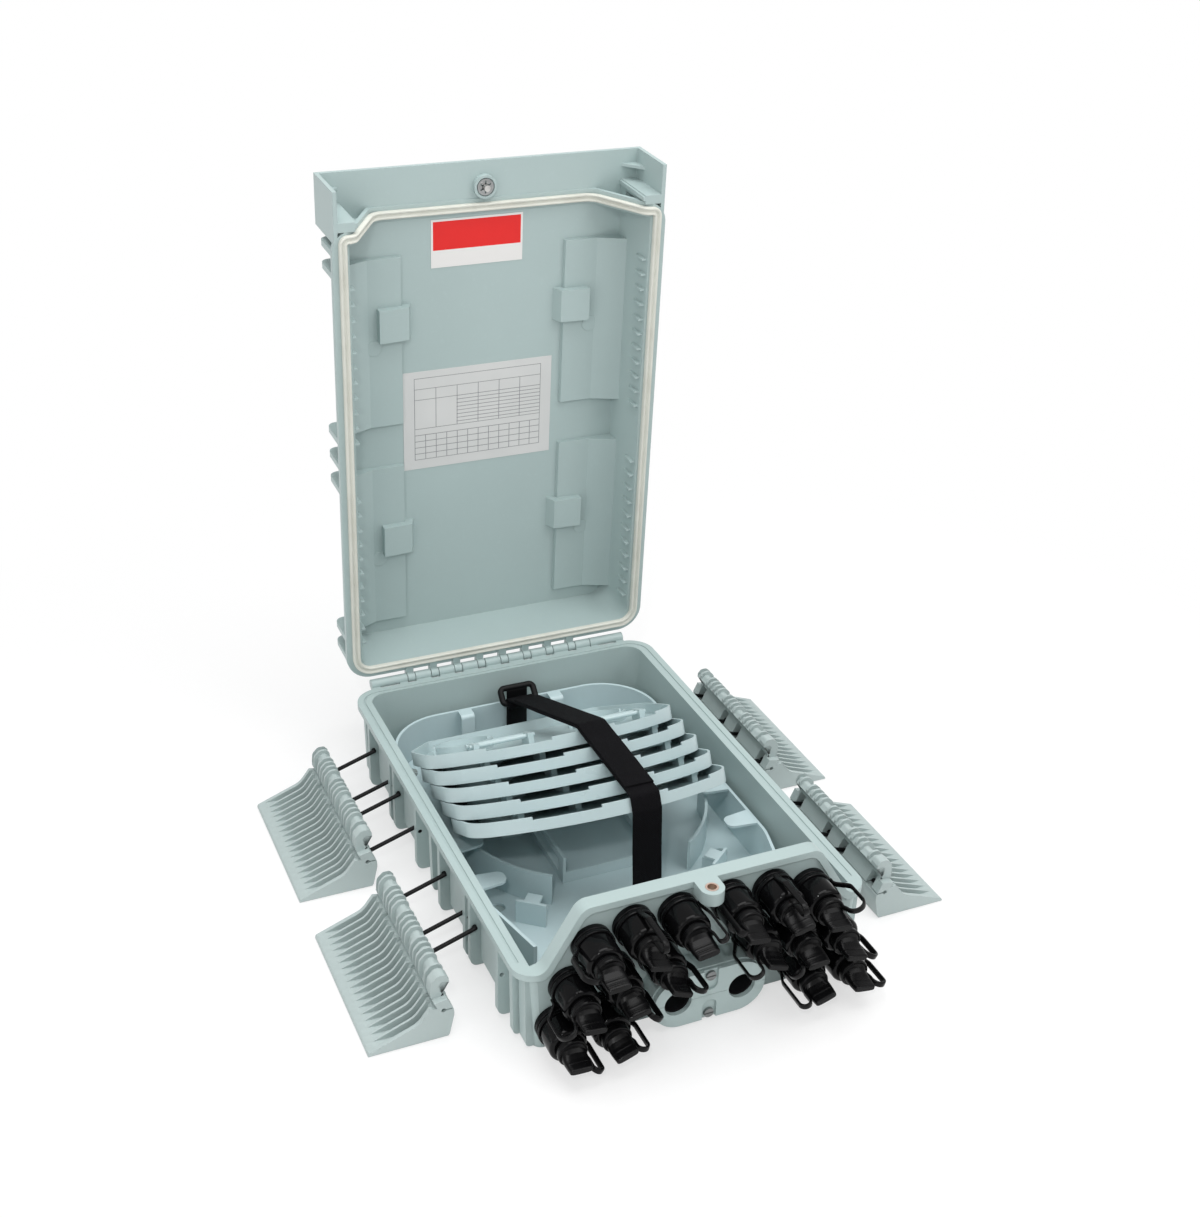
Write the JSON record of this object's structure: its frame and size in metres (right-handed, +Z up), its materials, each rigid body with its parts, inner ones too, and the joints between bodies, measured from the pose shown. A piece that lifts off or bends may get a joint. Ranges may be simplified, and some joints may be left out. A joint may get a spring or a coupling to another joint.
{
  "type": "fibre distribution box",
  "caption": "Hinged plastic fibre distribution box with tilting splice trays, arched adapter wall with capped ports, comb-backed latches and a hooded lid.",
  "frame": {"origin": "centre of the base's back face, on the plane it lies on", "axes": "+Z up out of the base, +X across the box, +Y towards the lid hinge"},
  "size_m": [0.3904, 0.4239, 0.4211],
  "materials": {
    "shell_plastic": "satin moulded plastic",
    "latch_plastic": "satin moulded plastic",
    "tray_plastic": "satin moulded plastic",
    "insert_plastic": "satin moulded plastic",
    "bail_wire": "black coated wire",
    "cap_rubber": "black rubber",
    "adapter_plastic": "black semi-gloss",
    "gasket_rubber": "cream sponge rubber",
    "seal_rubber": "black rubber",
    "pin_steel": "plain",
    "screw_steel": "plated",
    "insert_brass": "turned",
    "log_paper": "printed film",
    "label_film": "printed film",
    "strap_fabric": "woven hook-and-loop tape",
    "buckle_plastic": "black plastic"
  },
  "bodies": {
    "base_body": {"base": "shell_plastic", "base_insert": "insert_plastic", "tray_bracket": "insert_plastic", "hinge_pin": "pin_steel", "brass_insert": "insert_brass", "strap_buckle": "buckle_plastic", "port_plate_upper": "shell_plastic", "port_plate_lower": "shell_plastic", "port_seal": "seal_rubber", "port_screws": "screw_steel", "adapters": "adapter_plastic", "adapter_nuts": "adapter_plastic", "insert_screws": "screw_steel"},
    "lid_body": {"lid": "shell_plastic", "lid_gasket": "gasket_rubber", "screw_retainer": "screw_steel", "log_label": "log_paper", "colour_label": "label_film"},
    "lid_screw_body": {"lid_screw": "screw_steel"},
    "strap_body": {"strap": "strap_fabric"},
    "splice_tray_1_body": {"splice_tray_1": "tray_plastic"},
    "splice_tray_2_body": {"splice_tray_2": "tray_plastic"},
    "splice_tray_3_body": {"splice_tray_3": "tray_plastic"},
    "splice_tray_4_body": {"splice_tray_4": "tray_plastic"},
    "splice_tray_5_body": {"splice_tray_5": "tray_plastic"},
    "bails_right_rear_body": {"bails_right_rear": "bail_wire"},
    "latch_right_rear_body": {"latch_right_rear": "latch_plastic"},
    "bails_right_front_body": {"bails_right_front": "bail_wire"},
    "latch_right_front_body": {"latch_right_front": "latch_plastic"},
    "bails_left_rear_body": {"bails_left_rear": "bail_wire"},
    "latch_left_rear_body": {"latch_left_rear": "latch_plastic"},
    "bails_left_front_body": {"bails_left_front": "bail_wire"},
    "latch_left_front_body": {"latch_left_front": "latch_plastic"},
    "dust_cap_01_body": {"dust_cap_01": "cap_rubber"},
    "dust_cap_02_body": {"dust_cap_02": "cap_rubber"},
    "dust_cap_03_body": {"dust_cap_03": "cap_rubber"},
    "dust_cap_04_body": {"dust_cap_04": "cap_rubber"},
    "dust_cap_05_body": {"dust_cap_05": "cap_rubber"},
    "dust_cap_06_body": {"dust_cap_06": "cap_rubber"},
    "dust_cap_07_body": {"dust_cap_07": "cap_rubber"},
    "dust_cap_08_body": {"dust_cap_08": "cap_rubber"},
    "dust_cap_09_body": {"dust_cap_09": "cap_rubber"},
    "dust_cap_10_body": {"dust_cap_10": "cap_rubber"},
    "dust_cap_11_body": {"dust_cap_11": "cap_rubber"},
    "dust_cap_12_body": {"dust_cap_12": "cap_rubber"},
    "dust_cap_13_body": {"dust_cap_13": "cap_rubber"},
    "dust_cap_14_body": {"dust_cap_14": "cap_rubber"},
    "dust_cap_15_body": {"dust_cap_15": "cap_rubber"},
    "dust_cap_16_body": {"dust_cap_16": "cap_rubber"}
  },
  "joints": [
    {"name": "lid_hinge", "type": "hinge", "parent": "base_body", "child": "lid_body", "pos_m": [0, 0.1711, 0.0573], "axis": [-1, 0, 0], "range_deg": [-87.4, 0]},
    {"name": "lid_screw_turn", "type": "hinge", "parent": "lid_body", "child": "lid_screw_body", "pos_m": [0, 0.19809, 0.40418], "axis": [0, 0.999, 0.0454], "continuous": true},
    {"name": "strap_release", "type": "hinge", "parent": "base_body", "child": "strap_body", "pos_m": [0, 0.139, 0.0385], "axis": [-1, 0, 0], "range_deg": [0, 70]},
    {"name": "splice_tray_1_hinge", "type": "hinge", "parent": "base_body", "child": "splice_tray_1_body", "pos_m": [0, 0.12, 0.025], "axis": [-1, 0, 0], "range_deg": [0, 35]},
    {"name": "splice_tray_2_hinge", "type": "hinge", "parent": "base_body", "child": "splice_tray_2_body", "pos_m": [0, 0.0995, 0.025], "axis": [-1, 0, 0], "range_deg": [0, 35]},
    {"name": "splice_tray_3_hinge", "type": "hinge", "parent": "base_body", "child": "splice_tray_3_body", "pos_m": [0, 0.079, 0.025], "axis": [-1, 0, 0], "range_deg": [0, 35]},
    {"name": "splice_tray_4_hinge", "type": "hinge", "parent": "base_body", "child": "splice_tray_4_body", "pos_m": [0, 0.0585, 0.025], "axis": [-1, 0, 0], "range_deg": [0, 35]},
    {"name": "splice_tray_5_hinge", "type": "hinge", "parent": "base_body", "child": "splice_tray_5_body", "pos_m": [0, 0.038, 0.025], "axis": [-1, 0, 0], "range_deg": [0, 35]},
    {"name": "bails_right_rear_swing", "type": "hinge", "parent": "base_body", "child": "bails_right_rear_body", "pos_m": [0.112, 0.075, 0.0325], "axis": [0, 1, 0], "range_deg": [-82.8, 0]},
    {"name": "latch_right_rear_turn", "type": "hinge", "parent": "bails_right_rear_body", "child": "latch_right_rear_body", "pos_m": [0.149, 0.075, 0.02], "axis": [0, -1, 0], "range_deg": [0, 40]},
    {"name": "bails_right_front_swing", "type": "hinge", "parent": "base_body", "child": "bails_right_front_body", "pos_m": [0.112, -0.077, 0.0325], "axis": [0, 1, 0], "range_deg": [-82.8, 0]},
    {"name": "latch_right_front_turn", "type": "hinge", "parent": "bails_right_front_body", "child": "latch_right_front_body", "pos_m": [0.149, -0.077, 0.02], "axis": [0, -1, 0], "range_deg": [0, 40]},
    {"name": "bails_left_rear_swing", "type": "hinge", "parent": "base_body", "child": "bails_left_rear_body", "pos_m": [-0.112, 0.075, 0.0325], "axis": [0, -1, 0], "range_deg": [-82.8, 0]},
    {"name": "latch_left_rear_turn", "type": "hinge", "parent": "bails_left_rear_body", "child": "latch_left_rear_body", "pos_m": [-0.149, 0.075, 0.02], "axis": [0, 1, 0], "range_deg": [0, 40]},
    {"name": "bails_left_front_swing", "type": "hinge", "parent": "base_body", "child": "bails_left_front_body", "pos_m": [-0.112, -0.077, 0.0325], "axis": [0, -1, 0], "range_deg": [-82.8, 0]},
    {"name": "latch_left_front_turn", "type": "hinge", "parent": "bails_left_front_body", "child": "latch_left_front_body", "pos_m": [-0.149, -0.077, 0.02], "axis": [0, 1, 0], "range_deg": [0, 40]},
    {"name": "dust_cap_01_pull", "type": "slide", "parent": "base_body", "child": "dust_cap_01_body", "axis": [0, -1, 0], "range_m": [0, 0.019]},
    {"name": "dust_cap_02_pull", "type": "slide", "parent": "base_body", "child": "dust_cap_02_body", "axis": [0, -1, 0], "range_m": [0, 0.019]},
    {"name": "dust_cap_03_pull", "type": "slide", "parent": "base_body", "child": "dust_cap_03_body", "axis": [0, -1, 0], "range_m": [0, 0.019]},
    {"name": "dust_cap_04_pull", "type": "slide", "parent": "base_body", "child": "dust_cap_04_body", "axis": [0, -1, 0], "range_m": [0, 0.019]},
    {"name": "dust_cap_05_pull", "type": "slide", "parent": "base_body", "child": "dust_cap_05_body", "axis": [0, -1, 0], "range_m": [0, 0.019]},
    {"name": "dust_cap_06_pull", "type": "slide", "parent": "base_body", "child": "dust_cap_06_body", "axis": [0, -1, 0], "range_m": [0, 0.019]},
    {"name": "dust_cap_07_pull", "type": "slide", "parent": "base_body", "child": "dust_cap_07_body", "axis": [0, -1, 0], "range_m": [0, 0.019]},
    {"name": "dust_cap_08_pull", "type": "slide", "parent": "base_body", "child": "dust_cap_08_body", "axis": [0, -1, 0], "range_m": [0, 0.019]},
    {"name": "dust_cap_09_pull", "type": "slide", "parent": "base_body", "child": "dust_cap_09_body", "axis": [0, -1, 0], "range_m": [0, 0.019]},
    {"name": "dust_cap_10_pull", "type": "slide", "parent": "base_body", "child": "dust_cap_10_body", "axis": [0, -1, 0], "range_m": [0, 0.019]},
    {"name": "dust_cap_11_pull", "type": "slide", "parent": "base_body", "child": "dust_cap_11_body", "axis": [0, -1, 0], "range_m": [0, 0.019]},
    {"name": "dust_cap_12_pull", "type": "slide", "parent": "base_body", "child": "dust_cap_12_body", "axis": [0, -1, 0], "range_m": [0, 0.019]},
    {"name": "dust_cap_13_pull", "type": "slide", "parent": "base_body", "child": "dust_cap_13_body", "axis": [0, -1, 0], "range_m": [0, 0.019]},
    {"name": "dust_cap_14_pull", "type": "slide", "parent": "base_body", "child": "dust_cap_14_body", "axis": [0, -1, 0], "range_m": [0, 0.019]},
    {"name": "dust_cap_15_pull", "type": "slide", "parent": "base_body", "child": "dust_cap_15_body", "axis": [0, -1, 0], "range_m": [0, 0.019]},
    {"name": "dust_cap_16_pull", "type": "slide", "parent": "base_body", "child": "dust_cap_16_body", "axis": [0, -1, 0], "range_m": [0, 0.019]}
  ],
  "couplings": [
    {"joint": "splice_tray_1_hinge", "follows": "strap_release", "ratio": 0.5},
    {"joint": "splice_tray_2_hinge", "follows": "strap_release", "ratio": 0.5},
    {"joint": "splice_tray_3_hinge", "follows": "strap_release", "ratio": 0.5},
    {"joint": "splice_tray_4_hinge", "follows": "strap_release", "ratio": 0.5},
    {"joint": "splice_tray_5_hinge", "follows": "strap_release", "ratio": 0.5}
  ]
}
